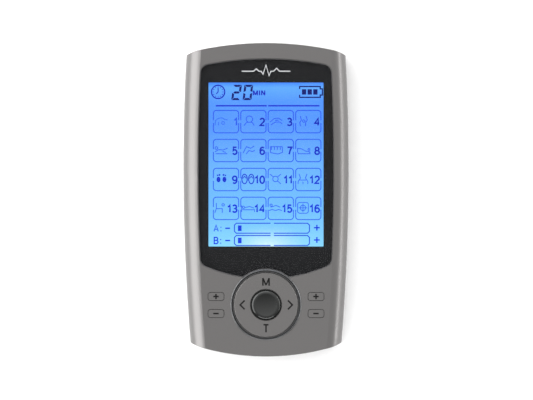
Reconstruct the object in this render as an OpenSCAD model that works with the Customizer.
// Handheld two-channel TENS unit: a slim housing in two shells, a backlit display behind a
// window, a four-way ring key round a centre button, four output-level keys, two output jacks
// and a charging port on the top end. Millimetres. The unit lies on its back: +Z is out of the
// face, +Y is towards the jacks, and the origin is the middle of the back.

/* [Housing] */
// Length of the housing, end to end
body_len = 116; // [110:1:122]
// Width of the housing at its widest
body_w = 61.4; // [60:0.2:64]
// Thickness of the housing, back to face
body_t = 12.8; // [12.6:0.1:13.4]
// Height of the joint between the two shells above the back
parting_z = 5.8; // [5.6:0.1:6]
// Angle at which the rounded sides leave the flat face
crease_angle = 14; // [10:1:18]
// Wall of the sides and the ends
side_wall = 1.8; // [1.6:0.1:1.8]
// Wall of the face, which also carries the window
face_wall = 2.2; // [2.2:0.1:2.3]
// Wall of the back
back_wall = 1.8; // [1.6:0.1:1.8]
// Gap that shows as the seam between the shells
seam = 0.2; // [0.1:0.05:0.3]

/* [Display] */
// Width of the visible display
view_w = 42.7; // [40:0.1:43]
// Height of the visible display
view_h = 60.8; // [58:0.1:61]
// Height of the display's middle above the housing's middle
view_y = 13.1; // [12.5:0.1:13.5]
// Thickness of the window
window_t = 1.15; // [1:0.05:1.2]
// Corner radius of the window
window_corner = 3.5; // [2.5:0.5:5]

/* [Keys] */
// Distance of the ring key's middle below the housing's middle
dpad_y = -38.9; // [-39.5:0.1:-38.5]
// Radius of the ring key's face
ring_r = 11.9; // [11.8:0.1:12]
// Radius of the centre button
button_r = 5.45; // [5:0.05:5.5]
// Distance of the level keys from the middle line
key_x = 18.5; // [18:0.1:19]
// Width of a level key
key_w = 5.7; // [5:0.1:6.2]
// Height of a level key
key_h = 2.8; // [2.6:0.1:3.4]
// How far the centre button and the level keys travel
key_travel = 0.3; // [0.2:0.05:0.35]
// How far the ring key tilts each way, in degrees
ring_tilt = 1.6; // [1:0.1:1.6]

/* [Sockets] */
// Distance of each output jack from the middle line
jack_x = 12; // [10:0.5:13]
// Radius of an output jack's bore, for a plug of 2.5 mm
jack_bore_r = 1.32; // [1.3:0.01:1.35]

/* [Hidden] */
$fn = 96;
eps = 0.01;
fine = 256;

// Plan of the housing: two long side arcs, an arc at each end, and a tighter shoulder arc where
// an end meets a side.
half_len = body_len / 2;
half_w = body_w / 2;
side_arc_r = 790;
side_arc_y = 11.5;
top_arc_r = 120;
bottom_arc_r = 89;
top_shoulder_r = 17;
bottom_shoulder_r = 20;
top_shoulder_x = 25.5;
bottom_shoulder_x = 24.5;
shoulder_kink = 3;
edge_r = (body_t - parting_z) / cos(crease_angle);

// Heights of the stack behind the face
face_in = body_t - face_wall;
window_top = body_t - 0.05;
window_bottom = window_top - window_t;
shelf_top = window_bottom - 0.1;
board_bottom = 5.3;
board_top = 6.3;
lcd_top = face_in - 0.2;
glass_bottom = lcd_top - 1.7;
guide_bottom = board_top + 0.3;

// Window: its arcs run alongside the housing's, apart from the bottom one
window_top_y = half_len - 5.75;
window_half_w = 25.2;
window_bottom_y = -29.3;
window_bottom_r = 58;

// Display parts
edge_gap = 0.3;
frame_half_w = 23.05;
frame_top_y = 45.6;
frame_bottom_y = -22;
glass_half_w = 22.3;
glass_top_y = 44.8;
glass_bottom_y = -21;
guide_half_w = 22.1;
guide_top_y = 44.7;
guide_bottom_y = -17.8;
zebra_half_w = 20.9;
zebra_w = 2.2;
zebra_y = -19.5;
polariser_half_w = 21.9;
polariser_top_y = 44.3;
polariser_t = 0.2;
reflector_t = 0.15;
led_size = [3.8, 1.3, 1.6];
led_gap = 0.3;
fit_gap = 0.05;

// Keys and switches
trim_r = 13.1;
trim_in_r = ring_r + 0.25;
trim_floor = body_t - 0.7;
ring_top = body_t + 0.25;
ring_bottom = 9.2;
ring_flange_r = 12.6;
ring_flange_top = 10;
button_gap = 0.3;
foot_ring_r = 8.8;
foot_r = 1.3;
key_top = body_t + 0.2;
key_gap = 0.2;
key_rows = [-35.8, -42.1];
key_corner = 0.8;
switch_w = 4.5;
switch_top = board_top + 1.6;
plunger_r = 1.1;
plunger_top = switch_top + 0.4;
plunger_bottom = switch_top - 0.4;
foot_bottom = plunger_top + 0.32;
cushion_wall = 0.9;
stem_r = 1.6;
key_stem_r = 1.2;
key_lip = 0.6;
button_flange = [8.45, 8.85];
button_flange_r = button_r + 1.05;
button_rim = ring_top + 0.5;
button_round = 1.1;
dish_r = 12.5;
dish_depth = 0.7;

// Fasteners: [x, y] in the right half
case_screws = [[24.4, 49.2], [22.6, -48.4]];
board_screws = [[25.2, 32], [25.2, -18]];
case_boss_r = 2.4;
case_post_r = 3;
case_pilot_r = 1.02;
case_pilot_top = 9.6;
case_clearance_r = 1.15;
counterbore_r = 2.2;
counterbore_top = 2.6;
board_boss_r = 1.9;
board_pilot_r = 0.74;
board_pilot_top = 9.9;

// Sockets
jack_tip_y = half_len - 0.8;
jack_back_y = 46;
jack_depth = 10.6;
jack_w = 6;
jack_h = 5;
jack_shoulder_y = half_len - 3;
nose_r = 2.4;
mouth_r = 1.9;
mouth_depth = 1;
sleeve_len = 0.9;
nose_gap = 0.15;
usb_front_y = half_len - 0.3;
usb_len = 5.5;
usb_w = 7.5;
usb_h = 2.5;
usb_skin = 0.3;
tongue_half_w = 1.9;
tongue_z = [board_top + 1.35, board_top + 1.95];

// Battery and its leads
cell_size = [34, 50, 3];
cell_y = 4;
cell_bottom = back_wall + 0.2;
tape_size = [24, 36];
fence_t = 1;
fence_h = 1.8;
lead_r = 0.55;
lead_sides = 8;
plug_low = [-2.7, -31.8, 2.9];
plug_high = [2.7, -26.4, 4.6];
lead_route = [[5, -21, 3.6], [5, -21.6, 3.6], [5, -22.4, 3.6], [4.2, -23.8, 3.7], [2.4, -24.3, 3.75],
              [1.25, -25.2, 3.75], [1.25, -25.8, 3.75], [1.25, plug_high[1], 3.75]];
socket_low = [-4, -33, 2.3];
socket_high = [4, -27.4, board_bottom];

// Label on the back
label_y = 4;
label_size = [38, 52];
label_recess = 0.15;
label_gap = 0.2;
label_t = 0.12;

// Parts on the rear of the board: [x, y, width, length, height]
controller = [0, -40, 10, 10, 1.4];
charger = [0, 36, 5, 4, 1.5];
reservoir = [9.8, 35.4, 3.6, 2.8, 1.9];
drivers = [[18.5, -30, 3, 3, 1.1], [18.5, -38, 3, 3, 1.1]];

// Transformers, on the front of the board
transformer_at = [15.5, -25.5];
core_size = [9, 6.4, 4];
core_slot = 2;
core_slot_x = 2.2;
coil_size = [1.9, 6.8, 3.2];

// ---------- Shapes that repeat ----------

// A rectangle with true round corners
module round_rect(w, h, r) {
    square([w - 2 * r, h], center = true);
    square([w, h - 2 * r], center = true);
    for (x = [-1, 1], y = [-1, 1])
        translate([x * (w / 2 - r), y * (h / 2 - r)]) circle(r = r);
}

// A box given by its lowest and highest corners
module span(low, high) {
    translate(low) cube(high - low);
}

// A post or a hole along Z between two heights
module post(x, y, r, z0, z1) {
    translate([x, y, z0]) cylinder(r = r, h = z1 - z0);
}

module both_sides() {
    children();
    mirror([1, 0, 0]) children();
}

// A frame: the outer box less the inner one, open along Z
module box_frame(outer, inner, z0, z1) {
    difference() {
        span([outer[0], outer[1], z0], [outer[2], outer[3], z1]);
        span([inner[0], inner[1], z0 - eps], [inner[2], inner[3], z1 + eps]);
    }
}

// ---------- Plan and section of the housing ----------

// What a shoulder cuts off one end, in the right half. The shoulder arc crosses the end arc at a
// slight angle, kink, and end_y is the end's middle.
module shoulder_cut(end_y, arc_r, shoulder_r, x, inset) {
    lean = asin(x / arc_r);
    cross_y = end_y - arc_r * (1 - cos(lean));
    centre = [x - shoulder_r * sin(lean + shoulder_kink), cross_y - shoulder_r * cos(lean + shoulder_kink)];
    towards = atan2(centre[0], centre[1] - (end_y - arc_r));
    difference() {
        translate([(arc_r - inset) * sin(towards), centre[1]]) square([40, 40]);
        translate(centre) circle(r = shoulder_r - inset, $fn = fine);
    }
}

// The two ends and their shoulders, wider than the housing
module end_outline(inset) {
    difference() {
        intersection() {
            translate([0, half_len - top_arc_r]) circle(r = top_arc_r - inset, $fn = fine);
            translate([0, bottom_arc_r - half_len]) circle(r = bottom_arc_r - inset, $fn = fine);
        }
        both_sides() shoulder_cut(half_len, top_arc_r, top_shoulder_r, top_shoulder_x, inset);
        both_sides() mirror([0, 1, 0])
            shoulder_cut(half_len, bottom_arc_r, bottom_shoulder_r, bottom_shoulder_x, inset);
    }
}

// The whole outline seen from the face
module plan_outline(inset) {
    intersection() {
        end_outline(inset);
        for_side(1) circle(r = side_arc_r - inset, $fn = fine);
        for_side(-1) circle(r = side_arc_r - inset, $fn = fine);
    }
}

// Places a shape at the centre of one side's long arc
module for_side(side) {
    translate([side * (half_w - side_arc_r), side_arc_y]) children();
}

// A disc whose rim is the rounded side of the housing
module side_disc(side, inset, low, high) {
    for_side(side) rotate([0, 0, side > 0 ? 180 : 0]) rotate_extrude($fn = fine) intersection() {
        translate([0, low]) square([side_arc_r, high - low]);
        union() {
            translate([0, low]) square([side_arc_r - edge_r, high - low]);
            translate([side_arc_r - edge_r, parting_z]) circle(r = edge_r - inset);
        }
    }
}

// The housing as one solid, set in by inset all round, between two heights
module housing(inset, low, high) {
    intersection() {
        translate([0, 0, low]) linear_extrude(high - low) end_outline(inset);
        side_disc(1, inset, low, high);
        side_disc(-1, inset, low, high);
    }
}

// The window's outline, set in by inset, with the bite that the ring key's trim takes out of it
module window_outline(inset) {
    difference() {
        offset(r = window_corner - inset) offset(delta = -window_corner) intersection() {
            translate([0, window_top_y - (top_arc_r - 5.75)]) circle(r = top_arc_r - 5.75, $fn = 360);
            translate([0, window_bottom_y + window_bottom_r]) circle(r = window_bottom_r, $fn = 240);
            intersection_for (side = [-1, 1]) translate([side * (side_arc_r - half_w), side_arc_y])
                circle(r = side_arc_r - half_w + window_half_w, $fn = 1800);
        }
        translate([0, dpad_y]) circle(r = trim_r + 0.1 + inset);
    }
}

// ---------- Housing ----------

// Openings in the top end for the jacks and the charging port, through both shells
module socket_openings() {
    both_sides() translate([jack_x, jack_back_y + 2, parting_z]) rotate([-90, 0, 0])
        cylinder(r = nose_r + nose_gap, h = 20);
    translate([0, usb_front_y - 10, board_top + usb_h / 2]) rotate([-90, 0, 0])
        linear_extrude(20) round_rect(usb_w + 2 * edge_gap, usb_h + 2 * edge_gap, 0.6);
}

module front_cover() {
    color("#86827f") difference() {
        union() {
            difference() {
                housing(0, parting_z + seam / 2, body_t);
                housing(side_wall, parting_z - 1, face_in);
                housing(side_wall / 2, parting_z - 1, parting_z + 1.3);
            }
            both_sides() for (p = case_screws)
                post(p[0], p[1], case_boss_r, parting_z + seam / 2, face_in + 0.2);
            both_sides() for (p = board_screws) post(p[0], p[1], board_boss_r, board_top, face_in + 0.2);
        }
        both_sides() for (p = case_screws) post(p[0], p[1], case_pilot_r, parting_z - 1, case_pilot_top);
        both_sides() for (p = board_screws) post(p[0], p[1], board_pilot_r, board_top - 1, board_pilot_top);
        translate([0, 0, shelf_top]) linear_extrude(3) window_outline(-0.15);
        translate([0, view_y, face_in - 1]) linear_extrude(3)
            square([view_w + 2 * edge_gap, view_h + 2 * edge_gap], center = true);
        post(0, dpad_y, trim_in_r + 0.15, face_in - 1, body_t + 1);
        post(0, dpad_y, trim_r + fit_gap, trim_floor, body_t + 1);
        both_sides() for (y = key_rows) translate([key_x, y, face_in - 1])
            linear_extrude(4) round_rect(key_w + 2 * key_gap, key_h + 2 * key_gap, key_corner + key_gap);
        socket_openings();
    }
}

module rear_cover() {
    color("#7d7977") difference() {
        union() {
            difference() {
                housing(0, 0, parting_z - seam / 2);
                housing(side_wall, back_wall, parting_z + 1);
            }
            difference() {
                housing(side_wall / 2 + 0.1, parting_z - 1.5, parting_z + 1.1);
                housing(side_wall, back_wall, parting_z + 2);
            }
            both_sides() for (p = case_screws) post(p[0], p[1], case_post_r, 0.5, parting_z - seam / 2);
            translate([0, cell_y, 0]) battery_fence();
        }
        both_sides() for (p = case_screws) {
            post(p[0], p[1], counterbore_r, -1, counterbore_top);
            post(p[0], p[1], case_clearance_r, -1, parting_z + 1);
        }
        translate([0, label_y, -1]) linear_extrude(1 + label_recess)
            round_rect(label_size[0], label_size[1], 2);
        socket_openings();
    }
}

// Low ribs that keep the cell in place, open at the end where the leads come out
module battery_fence() {
    x = cell_size[0] / 2 + 0.2;
    y = cell_size[1] / 2 + 0.2;
    difference() {
        box_frame([-x - fence_t, -y - fence_t, x + fence_t, y + fence_t], [-x, -y, x, y],
                  back_wall - 0.5, back_wall + fence_h);
        span([-8, -y - 2, back_wall], [8, -y + 1, back_wall + 3]);
    }
}

module rating_label() {
    color("#b9b9b6") translate([0, label_y, label_recess - label_t]) linear_extrude(label_t)
        round_rect(label_size[0] - 2 * label_gap, label_size[1] - 2 * label_gap, 1.8);
}

// A self-tapping screw: a pan head with a cross recess and a plain shank. under is the head's inner side.
module tapping_screw(head_r, head_h, shank_r, shank_top, under) {
    difference() {
        union() {
            translate([0, 0, under - head_h]) cylinder(r1 = head_r * 0.82, r2 = head_r, h = head_h);
            translate([0, 0, under - eps]) cylinder(r = shank_r, h = shank_top - under);
        }
        for (a = [0, 90]) rotate([0, 0, a])
            span([-head_r * 0.6, -head_r * 0.13, under - head_h - 1],
                 [head_r * 0.6, head_r * 0.13, under - head_h * 0.45]);
    }
}

module case_screws() {
    color("silver") both_sides() for (p = case_screws)
        translate([p[0], p[1], 0]) tapping_screw(1.95, 1.3, 1, case_pilot_top - 0.2, counterbore_top);
}

module board_screws() {
    color("silver") both_sides() for (p = board_screws)
        translate([p[0], p[1], 0]) tapping_screw(1.5, 0.9, 0.72, board_pilot_top - 0.2, board_bottom);
}

// ---------- Display ----------

module display_window() {
    color([0.2, 0.22, 0.24, 0.5]) translate([0, 0, window_bottom]) linear_extrude(window_t) window_outline(0);
}

// Black printed film with adhesive behind it: it makes the window's dark border
module window_mask() {
    color("black") translate([0, 0, shelf_top]) linear_extrude(window_bottom - shelf_top) difference() {
        window_outline(0.25);
        translate([0, view_y]) square([view_w, view_h], center = true);
    }
}

module display_gasket() {
    x = view_w / 2 + edge_gap;
    y = view_h / 2 + edge_gap;
    color("black") box_frame([-frame_half_w, frame_bottom_y, frame_half_w, frame_top_y],
                             [-x, view_y - y, x, view_y + y], lcd_top, face_in);
}

module lcd_polariser() {
    color("#3f74c8") span([-polariser_half_w, guide_bottom_y, lcd_top - polariser_t],
                          [polariser_half_w, polariser_top_y, lcd_top]);
}

module lcd_glass() {
    color("#6fa8ff") span([-glass_half_w, glass_bottom_y, glass_bottom],
                          [glass_half_w, glass_top_y, lcd_top - polariser_t]);
}

module lcd_frame() {
    color("white") difference() {
        span([-frame_half_w, frame_bottom_y, board_top + 0.1], [frame_half_w, frame_top_y, lcd_top]);
        span([-glass_half_w - fit_gap, glass_bottom_y - fit_gap, glass_bottom],
             [glass_half_w + fit_gap, glass_top_y + fit_gap, lcd_top + 1]);
        span([-guide_half_w - fit_gap, guide_bottom_y - fit_gap, board_top - 1],
             [guide_half_w + fit_gap, guide_top_y + fit_gap, lcd_top]);
        span([-zebra_half_w - 0.1, zebra_y - zebra_w / 2 - 0.1, board_top - 1],
             [zebra_half_w + 0.1, zebra_y + zebra_w / 2 + 0.1, lcd_top]);
    }
}

// The notch at the bottom edge is for the light-emitting diode
module led_notch() {
    x = led_size[0] / 2 + led_gap;
    span([-x, guide_bottom_y - 1, 0], [x, guide_bottom_y + led_size[1] + 2 * led_gap, body_t]);
}

module light_guide() {
    color("aliceblue") difference() {
        span([-guide_half_w, guide_bottom_y, guide_bottom], [guide_half_w, guide_top_y, glass_bottom]);
        led_notch();
    }
}

module reflector_sheet() {
    color("white") difference() {
        span([-guide_half_w, guide_bottom_y, guide_bottom - reflector_t],
             [guide_half_w, guide_top_y, guide_bottom]);
        led_notch();
    }
}

module backlight_led() {
    color("lightyellow") translate([-led_size[0] / 2, guide_bottom_y + led_gap, board_top]) cube(led_size);
}

module zebra_connector() {
    color("lightpink") span([-zebra_half_w, zebra_y - zebra_w / 2, board_top],
                            [zebra_half_w, zebra_y + zebra_w / 2, glass_bottom]);
}

// ---------- Circuit board and what is on it ----------

module circuit_board() {
    notch = case_post_r + 0.4;
    color("#1f6b3a") translate([0, 0, board_bottom]) linear_extrude(board_top - board_bottom) difference() {
        plan_outline(2.4);
        both_sides() for (p = case_screws)
            translate([p[0] - notch, p[1] > 0 ? p[1] - notch : p[1] + notch - 20]) square(20);
        both_sides() for (p = board_screws) translate([p[0], p[1]]) circle(r = board_pilot_r + 0.16);
        both_sides() translate([jack_x - jack_w / 2 - 0.2, jack_back_y - 0.2]) square([jack_w + 0.4, 20]);
    }
}

// A part soldered to the rear of the board
module rear_part(p) {
    translate([p[0] - p[2] / 2, p[1] - p[3] / 2, board_bottom - p[4]]) cube([p[2], p[3], p[4]]);
}

module controller_chip() {
    color("#222222") rear_part(controller);
}

module charger_chip() {
    color("#222222") rear_part(charger);
}

module driver_transistors() {
    color("#222222") both_sides() for (p = drivers) rear_part(p);
}

module reservoir_capacitors() {
    color("#c8a032") both_sides() rear_part(reservoir);
}

// Places a shape at both sides of each transformer's middle leg
module core_windows() {
    for (side = [-1, 1]) translate([side * core_slot_x, 0, core_size[2] / 2]) children();
}

// A ferrite core of two E halves: the coil shows between its legs
module transformer_cores() {
    color("#3a3a3a") both_sides() translate([transformer_at[0], transformer_at[1], board_top]) difference() {
        translate([0, 0, core_size[2] / 2]) cube(core_size, center = true);
        core_windows() cube([core_slot, 8, 6], center = true);
    }
}

module transformer_coils() {
    color("#b5652b") both_sides() translate([transformer_at[0], transformer_at[1], board_top])
        core_windows() cube(coil_size, center = true);
}

// ---------- Battery ----------

module battery_cell() {
    color("silver") span([-cell_size[0] / 2, cell_y - cell_size[1] / 2, cell_bottom],
                         [cell_size[0] / 2, cell_y + cell_size[1] / 2, cell_bottom + cell_size[2]]);
}

module battery_tape() {
    color("white") translate([0, cell_y, back_wall]) linear_extrude(cell_bottom - back_wall)
        square(tape_size, center = true);
}

// A round tube along a smooth curve through the route's points
function curve(p, i, t) =
    let (a = p[max(i - 1, 0)], b = p[i], c = p[i + 1], d = p[min(i + 2, len(p) - 1)])
    0.5 * ((2 * b) + (c - a) * t + (2 * a - 5 * b + 4 * c - d) * t * t + (3 * b - a - 3 * c + d) * t * t * t);
function smooth(p, steps) = concat([for (i = [0:len(p) - 2], s = [0:steps - 1]) curve(p, i, s / steps)],
                                   [p[len(p) - 1]]);
function unit(v) = v / norm(v);
function heading(q, i) = unit(q[min(i + 1, len(q) - 1)] - q[max(i - 1, 0)]);
function ring_at(q, i, r, n) =
    let (t = heading(q, i), s = unit(cross([0, 0, 1], t)), u = cross(t, s))
    [for (k = [0:n - 1]) q[i] + r * (cos(360 * k / n) * s + sin(360 * k / n) * u)];

module tube_along(route, r, n) {
    q = smooth(route, 3);
    last = len(q) - 1;
    points = [for (i = [0:last]) each ring_at(q, i, r, n)];
    walls = [for (i = [0:last - 1], k = [0:n - 1])
        [i * n + k, (i + 1) * n + k, (i + 1) * n + (k + 1) % n, i * n + (k + 1) % n]];
    polyhedron(points, concat([[for (k = [0:n - 1]) k]], walls, [[for (k = [n - 1:-1:0]) last * n + k]]));
}

module battery_lead_red() {
    color("red") tube_along([for (p = lead_route) [-p[0], p[1], p[2]]], lead_r, lead_sides);
}

module battery_lead_black() {
    color("black") tube_along(lead_route, lead_r, lead_sides);
}

module battery_plug() {
    color("ivory") span(plug_low, plug_high);
}

module battery_socket() {
    color("ivory") difference() {
        span(socket_low, socket_high);
        span(plug_low - [0.1, 0.1, 0.1], plug_high + [0.1, 1, 0.1]);
    }
}

// ---------- Sockets ----------

module output_jack(x) {
    translate([x, 0, parting_z]) difference() {
        union() {
            span([-jack_w / 2, jack_back_y, -jack_h / 2], [jack_w / 2, jack_shoulder_y, jack_h / 2]);
            translate([0, jack_shoulder_y - eps, 0]) rotate([-90, 0, 0])
                cylinder(r = nose_r, h = jack_tip_y - jack_shoulder_y);
        }
        translate([0, jack_tip_y - jack_depth, 0]) rotate([-90, 0, 0]) cylinder(r = jack_bore_r, h = 20);
        translate([0, jack_tip_y - mouth_depth, 0]) rotate([-90, 0, 0]) cylinder(r = mouth_r, h = 5);
    }
}

// The plated sleeve contact that shows round the mouth of a jack
module jack_sleeve(x) {
    translate([x, jack_tip_y - mouth_depth, parting_z]) rotate([-90, 0, 0]) difference() {
        cylinder(r = mouth_r, h = sleeve_len);
        translate([0, 0, -1]) cylinder(r = jack_bore_r, h = 5);
    }
}

// Section of the charging port, wide side up
module usb_section(inset) {
    w = usb_w / 2 - inset;
    h = usb_h / 2 - inset;
    polygon([[-w, h], [w, h], [w, -h * 0.1], [w - h * 0.9, -h], [-w + h * 0.9, -h], [-w, -h * 0.1]]);
}

module usb_shell() {
    color("silver") translate([0, usb_front_y, board_top + usb_h / 2]) rotate([90, 0, 0]) difference() {
        linear_extrude(usb_len) usb_section(0);
        translate([0, 0, -1]) linear_extrude(usb_len - usb_skin + 1) usb_section(usb_skin);
    }
}

module usb_tongue() {
    color("black") span([-tongue_half_w, usb_front_y - usb_len + usb_skin, tongue_z[0]],
                        [tongue_half_w, usb_front_y - 1, tongue_z[1]]);
}

// ---------- Keys ----------

ring_switches = [[0, foot_ring_r], [0, -foot_ring_r], [-foot_ring_r, 0], [foot_ring_r, 0]];

module switch_body(x, y) {
    difference() {
        span([x - switch_w / 2, y - switch_w / 2, board_top],
             [x + switch_w / 2, y + switch_w / 2, switch_top]);
        post(x, y, plunger_r + 0.1, plunger_bottom - key_travel - 0.1, switch_top + 1);
    }
}

module switch_bodies() {
    color("#2b2b2b") {
        switch_body(0, dpad_y);
        for (p = ring_switches) switch_body(p[0], dpad_y + p[1]);
        for (x = [-key_x, key_x], y = key_rows) switch_body(x, y);
    }
}

module plunger(x, y) {
    color("#d9d4c8") post(x, y, plunger_r, plunger_bottom, plunger_top);
}

// The trim round the ring key: a thin rim with a face that slopes in towards the key
module dpad_trim_ring() {
    color("#5a5e5f") translate([0, dpad_y, 0]) rotate_extrude()
        polygon([[trim_in_r, trim_floor], [trim_r, trim_floor], [trim_r, body_t + 0.08],
                 [trim_r - 0.17, body_t + 0.25], [trim_r - 0.3, body_t + 0.25],
                 [trim_in_r + 0.15, trim_floor + 0.3], [trim_in_r, trim_floor + 0.3]]);
}

// The ring key: a face with softened edges, a flange under the housing's face, and four feet
module dpad_ring() {
    hole = button_r + button_gap;
    color("#7f7b79") {
        translate([0, dpad_y, 0]) rotate_extrude()
            polygon([[hole, ring_bottom], [ring_flange_r, ring_bottom], [ring_flange_r, ring_flange_top],
                     [ring_r, ring_flange_top], [ring_r, ring_top - 0.3], [ring_r - 0.3, ring_top],
                     [hole + 0.2, ring_top], [hole, ring_top - 0.2]]);
        for (p = ring_switches) post(p[0], dpad_y + p[1], foot_r, foot_bottom, ring_bottom + eps);
    }
}

// A rubber ring that carries the ring key. Its top falls away from the Y axis and its bottom from
// the X axis, so that the key can tilt about either.
module dpad_cushion() {
    relief = ring_tilt + 0.1;
    out_r = ring_flange_r - 0.1;
    color("#2e2e2e") translate([0, dpad_y, 0]) difference() {
        post(0, 0, out_r, board_top, ring_bottom);
        post(0, 0, out_r - cushion_wall, 0, body_t);
        for (side = [0, 180]) rotate([0, 0, side]) {
            translate([0, -20, ring_bottom]) rotate([0, relief, 0]) cube([20, 40, 5]);
            translate([-20, 0, board_top]) rotate([relief, 0, 0]) translate([0, 0, -5]) cube([40, 20, 5]);
        }
    }
}

// The centre button: a cap with a rounded rim and a shallow dish, a flange under the ring key
// and a stem
module centre_button() {
    color("#454847") translate([0, dpad_y, 0]) difference() {
        rotate_extrude()
            polygon([[0, plunger_top], [stem_r, plunger_top], [stem_r, button_flange[0]],
                     [button_flange_r, button_flange[0]], [button_flange_r, button_flange[1]],
                     [button_r, button_flange[1]],
                     for (a = [0:10:90]) [button_r - button_round * (1 - cos(a)),
                                          button_rim - button_round * (1 - sin(a))],
                     [0, button_rim]]);
        translate([0, 0, button_rim - dish_depth + dish_r]) sphere(r = dish_r);
    }
}

module level_key(x, y) {
    color("#7f7b79") translate([x, y, 0]) {
        translate([0, 0, face_in - 0.2 - eps])
            linear_extrude(key_top - face_in + 0.2 + eps) round_rect(key_w, key_h, key_corner);
        translate([0, 0, face_in - 0.9]) linear_extrude(0.7)
            round_rect(key_w + 2 * key_lip, key_h + 2 * key_lip, key_corner);
        post(0, 0, key_stem_r, plunger_top, face_in - 0.9 + eps);
    }
}

// ---------- Nodes ----------

front_cover();
rear_cover();
case_screws();
rating_label();
display_window();
window_mask();
display_gasket();
lcd_polariser();
lcd_glass();
lcd_frame();
light_guide();
reflector_sheet();
backlight_led();
zebra_connector();
circuit_board();
board_screws();
controller_chip();
charger_chip();
driver_transistors();
reservoir_capacitors();
transformer_cores();
transformer_coils();
battery_cell();
battery_tape();
battery_lead_red();
battery_lead_black();
battery_plug();
battery_socket();
color("#1e1e1e") output_jack(-jack_x);  // output_jack_a
color("#1e1e1e") output_jack(jack_x);  // output_jack_b
color("silver") jack_sleeve(-jack_x);  // jack_sleeve_a
color("silver") jack_sleeve(jack_x);  // jack_sleeve_b
usb_shell();
usb_tongue();
switch_bodies();
dpad_trim_ring();
dpad_ring();
dpad_cushion();
centre_button();
plunger(0, dpad_y);  // centre_plunger
level_key(-key_x, key_rows[0]);  // key_a_plus
level_key(-key_x, key_rows[1]);  // key_a_minus
level_key(key_x, key_rows[0]);  // key_b_plus
level_key(key_x, key_rows[1]);  // key_b_minus
plunger(-key_x, key_rows[0]);  // plunger_a_plus
plunger(-key_x, key_rows[1]);  // plunger_a_minus
plunger(key_x, key_rows[0]);  // plunger_b_plus
plunger(key_x, key_rows[1]);  // plunger_b_minus
plunger(0, dpad_y + foot_ring_r);  // plunger_mode
plunger(0, dpad_y - foot_ring_r);  // plunger_time
plunger(-foot_ring_r, dpad_y);  // plunger_left
plunger(foot_ring_r, dpad_y);  // plunger_right
